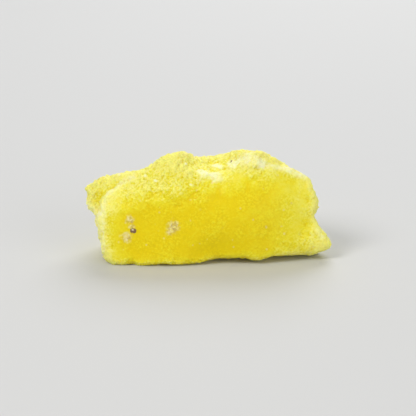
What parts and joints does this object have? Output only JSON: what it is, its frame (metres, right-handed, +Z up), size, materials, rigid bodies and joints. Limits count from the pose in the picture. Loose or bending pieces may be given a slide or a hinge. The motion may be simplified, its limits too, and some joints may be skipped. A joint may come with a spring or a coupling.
{
  "type": "brucite crystal",
  "caption": "Lemon-yellow brucite, a waxy translucent mass with a smooth front face, a granular crest and a stepped end, resting on a flat broken foot.",
  "frame": {"origin": "middle of the bounding box's foot, on the surface the specimen rests on", "axes": "+X along the specimen to the right as its smooth face is looked at, +Y back from that face, +Z up"},
  "size_m": [0.046, 0.0192, 0.0208],
  "materials": {
    "brucite": "waxy, milky and translucent, deep yellow where thick and pale lemon at thin edges, frosted on the granular crest"
  },
  "bodies": {
    "root": {"brucite_crystal": "brucite"}
  },
  "joints": []
}
